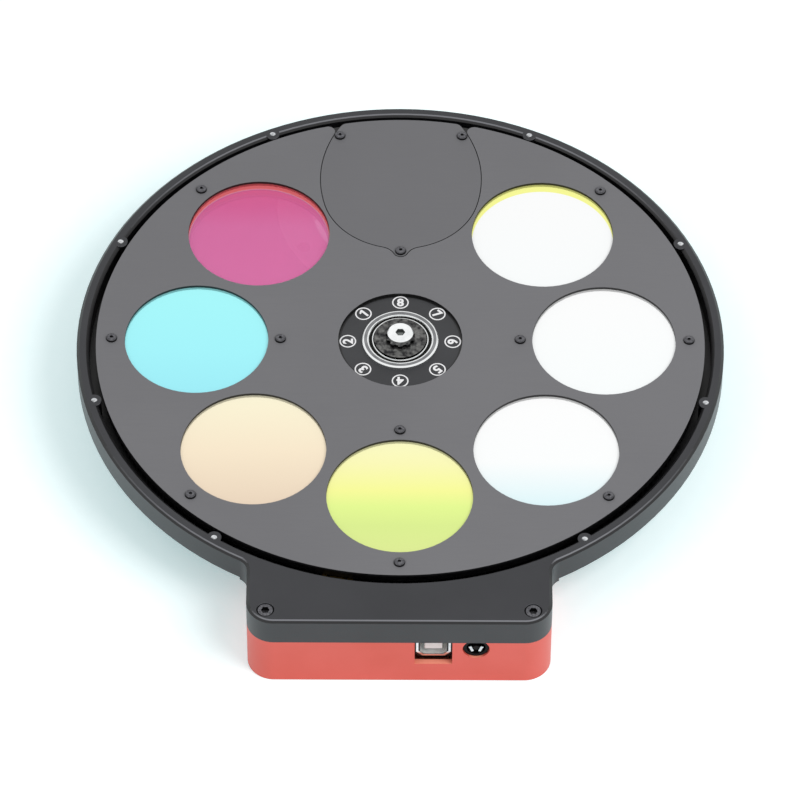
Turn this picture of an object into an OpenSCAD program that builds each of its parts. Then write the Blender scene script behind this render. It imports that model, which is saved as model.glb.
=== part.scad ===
/* [Filters] */
// Diameter of an unmounted round filter
filter_d = 50; // [48:0.1:50.2]
// Thickness of a filter
filter_t = 3; // [2:0.5:4]
// Diameter of the clear window over each filter
window_d = 49; // [44:0.5:49.5]
// Distance from the carousel's axle to the middle of a filter
pitch_r = 69.5; // [68:0.5:70]

/* [Housing] */
// Outer radius of the round housing
rim_r = 110.4; // [109:0.2:114]
// Thickness of the wall round the carousel
rim_wall = 4.2; // [3.8:0.1:4.5]
// Height of the black housing
base_h = 10.8; // [10.8:0.2:14]
// Thickness of the housing floor
floor_t = 3; // [3:0.2:3.4]
// Width of the square front of the housing
front_w = 100.6; // [96:0.2:104]
// Distance from the axle to the front face
front_y = 123.5; // [122:0.5:130]
// Plan radius of the front corners
corner_r = 9; // [8:0.5:10]
// Radius of the hollow corner where the round wall meets the square front
neck_r = 5; // [3:0.5:8]
// Chamfer along the top edge
top_bevel = 1; // [0.5:0.1:1.2]
// Chamfer along the inner edge of the wall
inner_bevel = 1; // [0.4:0.1:1.2]
// Chamfer under the round wall
low_bevel = 1.2; // [0.8:0.1:1.5]

/* [Drive box] */
// Height of the red box, which is also how far the adapter reaches down
box_h = 19.6; // [19.6:0.2:24]
// Depth of the red box from front to back
box_l = 52; // [50:1:60]
// Thickness of the box walls
box_wall = 2; // [1.6:0.2:2.4]

/* [Carousel] */
// Radius of the grey retaining plate
plate_r = 103.8; // [103.4:0.1:104]
// Thickness of the retaining plate
plate_t = 1; // [0.8:0.1:1.4]
// Thickness of the carousel disc
disc_t = 6.2; // [6:0.1:6.6]
// Gap between the housing floor and the disc
floor_gap = 0.8; // [0.6:0.1:1]
// Gap all round the blank plate
seam = 0.3; // [0.2:0.05:0.4]

/* [Drive] */
// Teeth on the motor pinion
pinion_teeth = 18; // [17:1:18]
// Sideways place of the motor
motor_x = -22; // [-26:1:-20]
// Play between the flanks of two teeth
backlash = 0.2; // [0.1:0.02:0.3]

/* [Hub] */
// Diameter of the hub window in the retaining plate
hub_window_d = 42.4; // [41:0.2:43]

/* [Hidden] */
$fn = 96;
eps = 0.01;
black = "#3b3c40";
dark_steel = "#202124";
steel = "#c9ccd0";

// Seven filters and a blank
places = 8;

// Heights, counted from the plane that the part rests on
z_base = box_h;
z_floor = z_base + floor_t;
z_rim = z_base + base_h;
z_disc = z_floor + floor_gap;
z_disc_top = z_disc + disc_t;
z_plate_top = z_disc_top + plate_t;

// Housing
chamber_r = rim_r - rim_wall;
neck_c = [front_w / 2 + neck_r, -sqrt((rim_r + neck_r) ^ 2 - (front_w / 2 + neck_r) ^ 2)];
cover_screw_r = 107;
cover_screw_steps = [0, 1, 2, 3];
cover_screw_hole_r = 1.03;
cover_boss_r = 2.4;

// Telescope port, on the optical axis
flange_r = 44;
flange_t = 1.5;
port_tube_r = 36;
port_thread_r = 33.46;
port_thread_l = 8;
port_bore_r = 31;
port_screw_r = 38.9;
port_screw_angles = [30, 150, 210, 330];

// Screws, by thread radius and head
m2_r = 1;
m2_head_r = 1.9;
m2_head_h = 0.9;
m25_r = 1.25;
m25_head_r = 2.3;
m25_head_h = 1.1;
m3_r = 1.5;
m3_head_r = 2.75;
m3_head_h = 3;
screw_gap = 0.05;

// Front screws that hold the red box, and the two behind them
front_screw = [43.9, -front_y + 5.1];
rear_screw = [42, -front_y + box_l - 8];
front_bore_r = 2.95;
front_bore_depth = 3.2;
post_r = 3.6;
box_screw_l = 8;

// Retaining plate and blank, about the middle of the blank's place
outer_screw_r = 98.5;
inner_screw_r = 40.9;
plate_screw_l = 5;
axle_c = [0, -pitch_r];
blank_r = 27.2;
blank_side_r = 50;
blank_side_c = [-sqrt((blank_side_r - blank_r) ^ 2 - 6 ^ 2), 6];
blank_corner_r = 3;
plate_corner_r = 2.5;
ear_r = 2.4;
ear_fillet_r = 6;
blank_ear = [0, inner_screw_r - pitch_r];
blank_corner_screw = [21.5, 26.4];

// Ring gear, under the lip of the disc
tooth_m = 1;
ring_teeth = 204;
lip_r = plate_r - 0.3;
lip_t = 2.6;
gear_bore_r = 97;
gear_top = z_disc_top - lip_t;
gear_t = 3.6;
ring_pitch_r = tooth_m * ring_teeth / 2;
pinion_pitch_r = tooth_m * pinion_teeth / 2;
pressure = 20;
dedendum = 1.25 * tooth_m;
centre_distance = ring_pitch_r + pinion_pitch_r;
mesh_angle = -90 + asin(motor_x / centre_distance);
pinion_t = 3;
pinion_z = gear_top - 0.4 - pinion_t;
pinion_room = 0.8;
pinion_roof = 2.2;

// Ball bearing of a standard size, from its axis outwards
bearing_bore = 10;
bearing_od = 26;
bearing_w = 8;
z_bearing = z_disc_top + 1.4 - bearing_w;
inner_land_r = 7.35;
outer_land_r = 10.9;
ball_r = 2.38;
ball_count = 7;
ball_pitch_r = (bearing_bore + bearing_od) / 4;
race_gap = 0.03;
shield_seat_r = 11.3;
shield_depth = 1;

// Axle
pedestal_r = 7;
hub_boss_r = 15.5;
hub_lip_r = 11.6;
hub_lip_t = 0.7;
hub_room = 1;
spigot_r = 3;
washer_r = 8.95;
washer_t = 0.4;
bush_h = 1.2;
bush_notches = 10;
axle_screw_r = 2.5;
axle_head_r = 4.4;
axle_head_h = 1.8;

// Motor
motor_r = 12;
motor_h = 14.6;
motor_flange_t = 1;
motor_hole_x = 16;
shaft_r = 1.5;
shaft_depth = 3.6;

// Circuit board and sockets, which hang from the housing
board_t = 1.6;
board_z = z_base - 0.1;
board_x = [0, 39];
board_back_r = 109;
board_front = 2.6;
board_hole = [[2.4, -117], [36.4, -117]];
usb_x = 11.3;
usb_size = [12, 16, 10.8];
usb_recess = 2.8;
usb_cut = [12.4, 11];
usb_bevel = 2;
jack_x = 25.3;
jack_z = z_base - 3.2;
jack_cut_r = 4.45;
jack_recess = 0.6;
jack_l = 13;

// Home sensor
sensor_r = 91;
sensor_screw_r = sensor_r - 5.5;
sensor_angle = -76;
sensor_size = [4.2, 3.2];
magnet_r = 1.5;
magnet_t = 2;

// Where two circles meet, on the side that sign picks
function circles_meet(c1, r1, c2, r2, sign) =
    let (gap = norm(c2 - c1), along = (gap ^ 2 + r1 ^ 2 - r2 ^ 2) / (2 * gap),
         across = sqrt(r1 ^ 2 - along ^ 2), u = (c2 - c1) / gap)
    c1 + along * u + sign * across * [-u[1], u[0]];
// The point at a distance from c towards p
function towards(c, p, distance) = c + (p - c) / norm(p - c) * distance;
function polar(r, a) = [r * cos(a), r * sin(a)];
function angle_of(v) = atan2(v[1], v[0]);
// An arc about c, without its last point
function arc(c, r, a1, a2, steps) = [for (k = [0:steps - 1]) c + polar(r, a1 + (a2 - a1) * k / steps)];
// The angle of place n, counted anticlockwise from the blank at the back
function place_angle(n) = 90 + n * 360 / places;
// How far an involute from the circle base has turned where it reaches radius r
function involute_turn(base, r) =
    let (roll = sqrt(max((r / base) ^ 2 - 1, 0)) * 180 / PI) roll - atan(roll * PI / 180);

module at_axle() translate([0, -pitch_r, 0]) children();
module at_place(n) at_axle() rotate(place_angle(n)) translate([pitch_r, 0, 0]) children();
module flip_x() { children(); mirror([1, 0, 0]) children(); }
module block(x, y, z) translate([x[0], y[0], z[0]]) cube([x[1] - x[0], y[1] - y[0], z[1] - z[0]]);
module disc(r, z1, z2) translate([0, 0, z1]) cylinder(h = z2 - z1, r = r);

// A screw with a domed head that stands on z = 0
module button_screw(r, head_r, head_h, l) difference() {
    rotate_extrude() polygon([
        [0, -l], [r, -l], [r, 0], [head_r, 0], [head_r, head_h * 0.45],
        [head_r * 0.92, head_h * 0.75], [head_r * 0.72, head_h], [0, head_h]
    ]);
    disc(r * 0.62, head_h * 0.35, head_h + eps, $fn = 6);
}

// A cap screw whose head stands on z = 0
module cap_screw(r, head_r, head_h, key_r, l) difference() {
    rotate_extrude() polygon([
        [0, -l], [r, -l], [r, 0], [head_r, 0], [head_r, head_h - 0.3],
        [head_r - 0.3, head_h], [0, head_h]
    ]);
    translate([0, 0, head_h * 0.45]) cylinder(h = head_h, r = key_r, $fn = 6);
}

// A countersunk screw whose head is level with z = 0
module flat_screw(r, head_r, head_h, l) difference() {
    rotate_extrude() polygon([[0, -l], [r, -l], [r, -head_h], [head_r, 0], [0, 0]]);
    translate([0, 0, -head_h * 0.7]) cylinder(h = head_h, r = r * 0.7, $fn = 6);
}

// The hole that a countersunk screw goes through, level with z = 0
module flat_screw_hole(r, head_r, head_h, l)
    rotate_extrude() polygon([
        [0, -l], [r + screw_gap, -l], [r + screw_gap, -head_h], [head_r + screw_gap, 0],
        [head_r + screw_gap, 1], [0, 1]
    ]);

// ---------- housing ----------
module rim_body() rotate_extrude($fn = 180) polygon([
    [0, z_base], [rim_r - low_bevel, z_base], [rim_r, z_base + low_bevel],
    [rim_r, z_rim - top_bevel], [rim_r - top_bevel, z_rim], [0, z_rim]
]);

module front_body() {
    half = front_w / 2;
    flat_x = half - corner_r;
    translate([0, -pitch_r / 2, 0]) rotate([90, 0, 0])
        linear_extrude(front_y - corner_r - pitch_r / 2) polygon([
            [-half, z_base], [half, z_base], [half, z_rim - top_bevel],
            [half - top_bevel, z_rim], [-half + top_bevel, z_rim], [-half, z_rim - top_bevel]
        ]);
    translate([-flat_x, 0, 0]) rotate([90, 0, 90]) linear_extrude(2 * flat_x) polygon([
        [-front_y, z_base], [-pitch_r, z_base], [-pitch_r, z_rim],
        [-front_y + top_bevel, z_rim], [-front_y, z_rim - top_bevel]
    ]);
    flip_x() translate([flat_x, -front_y + corner_r, 0]) rotate_extrude() polygon([
        [0, z_base], [corner_r, z_base], [corner_r, z_rim - top_bevel],
        [corner_r - top_bevel, z_rim], [0, z_rim]
    ]);
}

module neck_web() flip_x() difference() {
    translate([0, 0, z_base]) linear_extrude(base_h) polygon([
        towards([0, 0], neck_c, rim_r - 0.5), neck_c,
        [front_w / 2 - 0.5, neck_c[1]], [front_w / 2 - 4, neck_c[1] + 4]
    ]);
    translate([neck_c[0], neck_c[1], 0]) rotate_extrude() polygon([
        [0, z_base - 1], [neck_r, z_base - 1], [neck_r, z_rim - top_bevel],
        [neck_r + top_bevel, z_rim], [neck_r + top_bevel, z_rim + 1], [0, z_rim + 1]
    ]);
}

// Places of the eight cover screws: four each side, 40 degrees apart
module at_cover_screws() flip_x() for (k = cover_screw_steps)
    rotate(65 - 40 * k) translate([cover_screw_r, 0, 0]) children();

module base_housing() color(black) at_axle() difference() {
    union() { rim_body(); front_body(); neck_web(); }
    difference() {
        rotate_extrude($fn = 180) polygon([
            [0, z_floor], [chamber_r, z_floor], [chamber_r, z_rim - inner_bevel],
            [chamber_r + inner_bevel + 1, z_rim + 1], [0, z_rim + 1]
        ]);
        at_cover_screws() disc(cover_boss_r, z_base, z_rim + 2);
        disc(pedestal_r, z_base, z_bearing);
    }
    at_cover_screws() disc(cover_screw_hole_r, z_floor + 1, z_rim + 1);
    // Trough round the pedestal of the axle
    difference() {
        disc(hub_boss_r + hub_room, z_bearing - hub_lip_t - 0.7, z_floor + 1);
        disc(pedestal_r, z_base, z_bearing);
    }
    disc(spigot_r + screw_gap, z_base - 1, z_floor + 1);
    // Seat of the telescope adapter
    translate([0, pitch_r, 0]) {
        disc(port_tube_r + 0.1, z_base - 1, z_floor + 1);
        intersection() {
            disc(flange_r + 0.1, z_floor - flange_t, z_floor + 1);
            translate([0, -pitch_r, 0]) disc(chamber_r - 0.5, z_base, z_floor + 2, $fn = 180);
        }
        for (a = port_screw_angles) rotate(a) translate([port_screw_r, 0, 0])
            disc(m25_r + screw_gap, z_base - 1, z_floor);
    }
    // Room for the pinion, from below
    translate(polar(centre_distance, mesh_angle)) {
        disc(pinion_pitch_r + tooth_m + pinion_room, z_base - 1, z_rim - pinion_roof);
        for (s = [-1, 1]) translate([s * motor_hole_x, 0, 0]) disc(m2_r + screw_gap, z_base - 1, z_base + 4);
    }
    // Front screws of the red box
    flip_x() translate(front_screw) {
        disc(m3_r + screw_gap, z_base - 1, z_rim + 1);
        disc(front_bore_r, z_rim - front_bore_depth, z_rim + 1);
    }
    flip_x() translate([rear_screw[0], rear_screw[1], z_floor])
        flat_screw_hole(m3_r, m3_head_r, 1.6, floor_t + 1);
    // Shallow pocket over the circuit board
    difference() {
        block([board_x[0] - 0.5, board_x[1] + 0.5], [-front_y + board_front - 0.5, -90],
              [z_base - 1, board_z + board_t]);
        disc(board_back_r - 0.5, z_base - 2, z_rim, $fn = 180);
    }
    for (p = board_hole) translate(p) disc(m2_r + screw_gap, z_base - 1, z_base + 5);
    // Window for the home sensor
    rotate(sensor_angle) translate([sensor_r, 0, z_base + floor_t / 2])
        cube([sensor_size[1] + 0.6, sensor_size[0] + 0.6, floor_t + 2], center = true);
    rotate(sensor_angle) translate([sensor_screw_r, 0, 0]) disc(m2_r + screw_gap, z_base - 1, z_base + 2);
}

// ---------- red box ----------
module box_form(inset, z1, z2) {
    half = front_w / 2 - inset;
    r = corner_r - inset;
    front = -front_y + inset;
    back = -front_y + box_l - inset;
    translate([0, 0, z1]) linear_extrude(z2 - z1) {
        translate([-half + r, front]) square([2 * (half - r), back - front]);
        translate([-half, front + r]) square([2 * half, back - front - 2 * r]);
        flip_x() for (y = [front + r, back - r]) translate([half - r, y]) circle(r);
    }
}

module drive_cover() color("#cf5f55") at_axle() difference() {
    union() {
        difference() {
            box_form(0, 0, z_base);
            box_form(box_wall, box_wall, z_base + 1);
        }
        flip_x() for (p = [front_screw, rear_screw]) translate(p) disc(post_r, box_wall - eps, z_base);
    }
    flip_x() for (p = [front_screw, rear_screw]) translate(p)
        disc(m3_r + screw_gap, z_base - box_screw_l - 1, z_base + 1);
    // Notches for the two sockets, open to the housing above
    block([usb_x - usb_cut[0] / 2, usb_x + usb_cut[0] / 2],
          [-front_y - 1, -front_y + box_wall + 1], [z_base - usb_cut[1], z_base + 1]);
    translate([jack_x, -front_y - 1, jack_z]) rotate([-90, 0, 0]) cylinder(h = box_wall + 2, r = jack_cut_r);
}

module front_cover_screws() color(dark_steel) at_axle() flip_x()
    translate([front_screw[0], front_screw[1], z_rim - front_bore_depth])
        cap_screw(m3_r, m3_head_r, m3_head_h, 1.45, base_h - front_bore_depth + box_screw_l);

module rear_cover_screws() color(dark_steel) at_axle() flip_x()
    translate([rear_screw[0], rear_screw[1], z_floor])
        flat_screw(m3_r, m3_head_r, 1.6, floor_t + box_screw_l);

// ---------- telescope port ----------
module telescope_adapter() color(black) difference() {
    union() {
        rotate_extrude($fn = 144) polygon([
            [port_thread_r, 0], [port_tube_r - 0.6, 0], [port_tube_r, 0.6],
            [port_tube_r, z_floor - flange_t + eps], [port_bore_r, z_floor - flange_t + eps],
            [port_bore_r, port_thread_l], [port_thread_r, port_thread_l]
        ]);
        intersection() {
            disc(flange_r, z_floor - flange_t, z_floor, $fn = 144);
            at_axle() disc(chamber_r - 0.6, z_base, z_floor + 1, $fn = 180);
        }
    }
    disc(port_bore_r, z_base - 5, z_floor + 1, $fn = 144);
    for (a = port_screw_angles) rotate(a) translate([port_screw_r, 0, z_floor])
        flat_screw_hole(m25_r, m25_head_r, m25_head_h, flange_t + 1);
}

module adapter_screws() color(dark_steel) for (a = port_screw_angles)
    rotate(a) translate([port_screw_r, 0, z_floor]) flat_screw(m25_r, m25_head_r, m25_head_h, floor_t);

// ---------- axle and bearing ----------
module axle_post() color("#8d9094") at_axle() difference() {
    rotate_extrude() polygon([
        [0, z_base], [spigot_r, z_base], [spigot_r, z_bearing], [bearing_bore / 2 - eps, z_bearing],
        [bearing_bore / 2 - eps, z_bearing + bearing_w - 0.3], [0, z_bearing + bearing_w - 0.3]
    ]);
    disc(axle_screw_r, z_bearing + 1, z_rim + 1);
}

module axle_washer() color(dark_steel) at_axle() difference() {
    disc(washer_r, z_bearing + bearing_w, z_bearing + bearing_w + washer_t);
    disc(axle_screw_r + 0.1, z_base, z_rim + 5);
}

module axle_lock_bush() color(dark_steel) at_axle() difference() {
    disc(bearing_bore / 2, z_bearing + bearing_w + washer_t, z_bearing + bearing_w + washer_t + bush_h);
    disc(axle_screw_r + 0.1, z_base, z_rim + 9);
    for (k = [0:bush_notches - 1]) rotate(k * 360 / bush_notches) translate([bearing_bore / 2 + 0.3, 0, 0])
        disc(1, z_base, z_rim + 9, $fn = 32);
}

module axle_screw() color(steel) at_axle()
    translate([0, 0, z_bearing + bearing_w + washer_t + bush_h])
        cap_screw(axle_screw_r - screw_gap, axle_head_r, axle_head_h, 1.7, bush_h + washer_t + 6);

// The groove that the balls run in
module ball_race() translate([0, 0, z_bearing + bearing_w / 2])
    rotate_extrude() translate([ball_pitch_r, 0]) circle(ball_r + race_gap, $fn = 48);

module bearing_inner_ring() color(steel) at_axle() difference() {
    disc(inner_land_r, z_bearing, z_bearing + bearing_w);
    disc(bearing_bore / 2, z_bearing - 1, z_bearing + bearing_w + 1);
    ball_race();
}

module bearing_outer_ring() color(steel) at_axle() difference() {
    rotate_extrude() polygon([
        [shield_seat_r, z_bearing], [bearing_od / 2, z_bearing],
        [bearing_od / 2, z_bearing + bearing_w - 0.3], [bearing_od / 2 - 0.3, z_bearing + bearing_w],
        [shield_seat_r, z_bearing + bearing_w], [shield_seat_r, z_bearing + bearing_w - shield_depth],
        [outer_land_r, z_bearing + bearing_w - shield_depth], [outer_land_r, z_bearing + shield_depth],
        [shield_seat_r, z_bearing + shield_depth]
    ]);
    ball_race();
}

module bearing_balls() color(steel) at_axle() for (k = [0:ball_count - 1])
    rotate(k * 360 / ball_count) translate([ball_pitch_r, 0, z_bearing + bearing_w / 2]) sphere(ball_r);

// A pressed shield, with one bead at its rim and one half way in
module shield() rotate_extrude() polygon([
    [inner_land_r + 0.4, -0.85], [shield_seat_r, -1], [shield_seat_r, -0.1], [10.85, -0.1],
    [10.6, -0.45], [9.75, -0.45], [9.6, -0.15], [9.3, -0.15], [9.15, -0.45], [inner_land_r + 0.4, -0.45]
]);

module bearing_shields() color("#b4b8bc") at_axle() {
    translate([0, 0, z_bearing + bearing_w]) shield();
    translate([0, 0, z_bearing]) mirror([0, 0, 1]) shield();
}

// ---------- carousel ----------
module at_plate_screws() at_axle() {
    for (n = [1:places - 1]) rotate(place_angle(n)) translate([outer_screw_r, 0, 0]) children();
    for (n = [2, 4, 6]) rotate(place_angle(n)) translate([inner_screw_r, 0, 0]) children();
}
module at_blank_screws() {
    translate(blank_ear) children();
    flip_x() translate(blank_corner_screw) children();
}

module carousel_disc() color(black) difference() {
    at_axle() difference() {
        rotate_extrude($fn = 180) polygon([
            [hub_lip_r, z_bearing - hub_lip_t], [hub_boss_r, z_bearing - hub_lip_t],
            [hub_boss_r, z_disc], [gear_bore_r, z_disc], [gear_bore_r, gear_top],
            [lip_r, gear_top], [lip_r, z_disc_top], [bearing_od / 2, z_disc_top],
            [bearing_od / 2, z_bearing], [hub_lip_r, z_bearing]
        ]);
        rotate(sensor_angle) translate([sensor_r, 0, 0]) disc(magnet_r, z_disc - 1, z_disc + magnet_t);
    }
    for (n = [0:places - 1]) at_place(n) {
        disc(filter_d / 2 + 0.2, z_disc_top - filter_t, z_disc_top + 1);
        disc(window_d / 2 - 0.5, z_disc - 1, z_disc_top);
    }
    at_plate_screws() disc(m2_r + screw_gap, z_disc_top - plate_screw_l, z_disc_top + 1, $fn = 24);
    at_blank_screws() disc(m2_r + screw_gap, z_disc_top - plate_screw_l, z_disc_top + 1, $fn = 24);
}

// Four points per tooth: on so large a wheel the flanks are all but straight
function ring_points() = [
    for (k = [0:ring_teeth - 1])
        let (half = 90 / ring_teeth - backlash / 4 / ring_pitch_r * 180 / PI,
             slope = tan(pressure) / ring_pitch_r * 180 / PI)
        for (p = [[-1, -dedendum], [-1, 0.9 * tooth_m], [1, 0.9 * tooth_m], [1, -dedendum]])
            polar(ring_pitch_r + p[1], k * 360 / ring_teeth + p[0] * (half - p[1] * slope))
];

module ring_gear() color("#55585c") difference() {
    at_axle() translate([0, 0, gear_top - gear_t]) difference() {
        rotate(mesh_angle) linear_extrude(gear_t) polygon(ring_points());
        translate([0, 0, -1]) cylinder(h = gear_t + 2, r = gear_bore_r, $fn = 180);
    }
    at_plate_screws() disc(m2_r + screw_gap, z_disc, z_disc_top, $fn = 24);
    at_blank_screws() disc(m2_r + screw_gap, z_disc, z_disc_top, $fn = 24);
}

// Right half of the blank's outline grown by g, from the tip of its ear up its side, to where
// a corner round corner_c begins
function blank_side(g, corner_c) =
    let (fillet_c = circles_meet([0, 0], blank_r + ear_fillet_r, blank_ear, ear_r + ear_fillet_r, 1))
    concat(
        arc(blank_ear, ear_r + g, -90, angle_of(fillet_c - blank_ear), 6),
        arc(fillet_c, ear_fillet_r - g, angle_of(blank_ear - fillet_c), angle_of(-fillet_c), 6),
        arc([0, 0], blank_r + g, angle_of(fillet_c), angle_of(-blank_side_c), 24),
        arc(blank_side_c, blank_side_r + g, angle_of(-blank_side_c), angle_of(corner_c - blank_side_c), 16)
    );
// A right half that starts on the middle line, closed over the points between with its mirror image
function both_halves(right, between) =
    concat(right, between, [for (k = [len(right) - 1:-1:1]) [-right[k][0], right[k][1]]]);

module blank_plate() color("#6d6e70") difference() {
    corner_c = circles_meet(blank_side_c, blank_side_r - blank_corner_r,
                            axle_c, plate_r - blank_corner_r, 1);
    out = angle_of(corner_c - axle_c);
    translate([0, 0, z_disc_top]) linear_extrude(plate_t) polygon(both_halves(
        concat(blank_side(0, corner_c),
               arc(corner_c, blank_corner_r, angle_of(corner_c - blank_side_c), out, 6)),
        arc(axle_c, plate_r, out, 180 - out, 16)
    ));
    at_blank_screws() disc(m2_r + screw_gap, z_disc_top - 1, z_plate_top + 1, $fn = 24);
}

module retaining_plate() color("#75767a") difference() {
    cut_r = blank_side_r + seam;
    corner_c = circles_meet(blank_side_c, cut_r + plate_corner_r, axle_c, plate_r - plate_corner_r, 1);
    out = angle_of(corner_c - axle_c);
    translate([0, 0, z_disc_top]) linear_extrude(plate_t) polygon(both_halves(
        concat(blank_side(seam, corner_c),
               arc(corner_c, plate_corner_r, 360 + angle_of(blank_side_c - corner_c), out, 8)),
        arc(axle_c, plate_r, out, -180 - out, 180)
    ));
    at_axle() disc(hub_window_d / 2, z_disc_top - 1, z_plate_top + 1);
    for (n = [1:places - 1]) at_place(n) disc(window_d / 2, z_disc_top - 1, z_plate_top + 1);
    at_plate_screws() disc(m2_r + screw_gap, z_disc_top - 1, z_plate_top + 1, $fn = 24);
}

module optical_filter(n, tint) color(tint) at_place(n)
    rotate_extrude() polygon([
        [0, z_disc_top - filter_t], [filter_d / 2 - 0.2, z_disc_top - filter_t],
        [filter_d / 2, z_disc_top - filter_t + 0.2], [filter_d / 2, z_disc_top - 0.2],
        [filter_d / 2 - 0.2, z_disc_top], [0, z_disc_top]
    ]);
module filter_1() optical_filter(1, "#d65f9e");
module filter_2() optical_filter(2, "#a6fcff");
module filter_3() optical_filter(3, "#f6e5c8");
module filter_4() optical_filter(4, "#ecf58e");
module filter_5() optical_filter(5, "#f0fafc");
module filter_6() optical_filter(6, "#ffffff");
module filter_7() optical_filter(7, "#ffffe8");

module plate_screws() color(dark_steel) at_plate_screws() translate([0, 0, z_plate_top])
    button_screw(m2_r, m2_head_r, m2_head_h, plate_t + plate_screw_l - 0.4, $fn = 32);
module blank_screws() color(dark_steel) at_blank_screws() translate([0, 0, z_plate_top])
    button_screw(m2_r, m2_head_r, m2_head_h, plate_t + plate_screw_l - 0.4, $fn = 32);

module home_magnet() color("#a9acb0") at_axle() rotate(sensor_angle) translate([sensor_r, 0, 0])
    disc(magnet_r - eps, z_disc, z_disc + magnet_t);

// ---------- drive ----------
module at_motor() at_axle() translate(polar(centre_distance, mesh_angle)) children();

module stepper_motor() color("#9fa2a6") at_motor() difference() {
    union() {
        rotate_extrude() polygon([
            [0, z_base - motor_flange_t - motor_h], [motor_r - 0.8, z_base - motor_flange_t - motor_h],
            [motor_r, z_base - motor_flange_t - motor_h + 0.8], [motor_r, z_base - motor_flange_t],
            [0, z_base - motor_flange_t]
        ]);
        disc(4, z_base - motor_flange_t, z_base + 1.4);
        translate([0, 0, z_base - motor_flange_t]) linear_extrude(motor_flange_t) {
            square([2 * motor_hole_x, 7], center = true);
            for (s = [-1, 1]) translate([s * motor_hole_x, 0]) circle(3.5);
            circle(motor_r);
        }
    }
    disc(shaft_r + screw_gap, z_base - shaft_depth - 0.3, z_rim);
    for (s = [-1, 1]) translate([s * motor_hole_x, 0, 0]) disc(m2_r + screw_gap, z_base - 3, z_rim);
}

module motor_screws() color(dark_steel) at_motor() for (s = [-1, 1])
    translate([s * motor_hole_x, 0, 0]) screw_from_below(z_base - motor_flange_t, motor_flange_t + 3.5);

module motor_shaft() color(steel) at_motor() disc(shaft_r, z_base - shaft_depth, pinion_z + pinion_t);

// Involute pinion, with a gap between two teeth facing the ring gear
module pinion_outline() {
    base = pinion_pitch_r * cos(pressure);
    root = pinion_pitch_r - dedendum;
    tip = pinion_pitch_r + tooth_m;
    half = 90 / pinion_teeth - backlash / 4 / pinion_pitch_r * 180 / PI
        + involute_turn(base, pinion_pitch_r);
    flank = [for (k = [0:5]) let (r = base + (tip - base) * k / 5) polar(r, involute_turn(base, r) - half)];
    mirrored = [for (k = [5:-1:0]) [flank[k][0], -flank[k][1]]];
    tooth = concat([polar(root - 0.1, -half)], flank, mirrored, [polar(root - 0.1, half)]);
    circle(root);
    for (k = [0:pinion_teeth - 1]) rotate((k + 0.5) * 360 / pinion_teeth) polygon(tooth);
}

module pinion() color("#c2a24e") at_motor() difference() {
    translate([0, 0, pinion_z]) rotate(mesh_angle + 180) linear_extrude(pinion_t) pinion_outline();
    disc(shaft_r + eps, z_base, z_rim);
}

// ---------- electronics ----------
module circuit_board() color("#1d5c38") at_axle() difference() {
    block(board_x, [-front_y + board_front, -95], [board_z, board_z + board_t]);
    disc(board_back_r, z_base - 1, z_rim, $fn = 180);
    for (p = board_hole) translate(p) disc(m2_r + screw_gap, z_base - 1, z_rim);
}

// A small cap screw that points upwards, its head against z
module screw_from_below(z, l) translate([0, 0, z]) mirror([0, 0, 1])
    cap_screw(m2_r, m2_head_r, 1.5, 0.75, l, $fn = 32);

module board_screws() color(dark_steel) at_axle() {
    for (p = board_hole) translate(p) screw_from_below(board_z, board_t + 3);
    rotate(sensor_angle) translate([sensor_screw_r, 0, 0]) screw_from_below(z_base - 1, 2.6);
}

// Outline of a type B socket, its two bevelled corners downwards
module usb_form(inset, bevel) {
    w = usb_size[0] / 2 - inset;
    low = -usb_size[2] + inset;
    polygon([[-w, -inset], [w, -inset], [w, low + bevel], [w - bevel, low], [-w + bevel, low],
             [-w, low + bevel]]);
}

module usb_socket() color(steel) at_axle()
    translate([usb_x, -front_y + usb_recess + usb_size[1], board_z]) rotate([90, 0, 0]) {
        difference() {
            linear_extrude(usb_size[1]) usb_form(0, usb_bevel);
            translate([0, 0, 5]) linear_extrude(usb_size[1]) usb_form(1.6, usb_bevel * 0.6);
        }
        translate([-2.8, -usb_size[2] / 2 - 1.6, 4]) cube([5.6, 3.2, usb_size[1] - 5.2]);
    }

module power_jack() color(dark_steel) at_axle() translate([jack_x, -front_y + jack_recess, jack_z])
    rotate([-90, 0, 0]) {
        difference() {
            union() {
                intersection() {
                    cylinder(h = jack_l, r = jack_cut_r - 0.35);
                    translate([-5, -(board_z - jack_z), 0]) cube([10, 10, jack_l]);
                }
                translate([-4.5, -(board_z - jack_z), box_wall + 0.2 - jack_recess])
                    cube([9, 8, jack_l - box_wall - 0.2 + jack_recess]);
            }
            translate([0, 0, -1]) cylinder(h = jack_l - 2, r = 3.15);
        }
        cylinder(h = jack_l - 1, r = 1);
    }

module sensor_board() color("#1d5c38") at_axle() rotate(sensor_angle) difference() {
    union() {
        translate([sensor_r - 8, -4.5, z_base - 1]) cube([12, 9, 1]);
        translate([sensor_r - sensor_size[1] / 2, -sensor_size[0] / 2, z_base - eps])
            cube([sensor_size[1], sensor_size[0], floor_t - 0.4]);
    }
    translate([sensor_screw_r, 0, 0]) disc(m2_r + screw_gap, z_base - 2, z_base + 1);
}

base_housing();
drive_cover();
front_cover_screws();
rear_cover_screws();
telescope_adapter();
adapter_screws();
axle_post();
axle_washer();
axle_lock_bush();
axle_screw();
bearing_inner_ring();
bearing_outer_ring();
bearing_balls();
bearing_shields();
carousel_disc();
ring_gear();
retaining_plate();
blank_plate();
filter_1();
filter_2();
filter_3();
filter_4();
filter_5();
filter_6();
filter_7();
plate_screws();
blank_screws();
home_magnet();
stepper_motor();
motor_screws();
motor_shaft();
pinion();
circuit_board();
board_screws();
usb_socket();
power_jack();
sensor_board();
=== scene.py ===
import math

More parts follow.
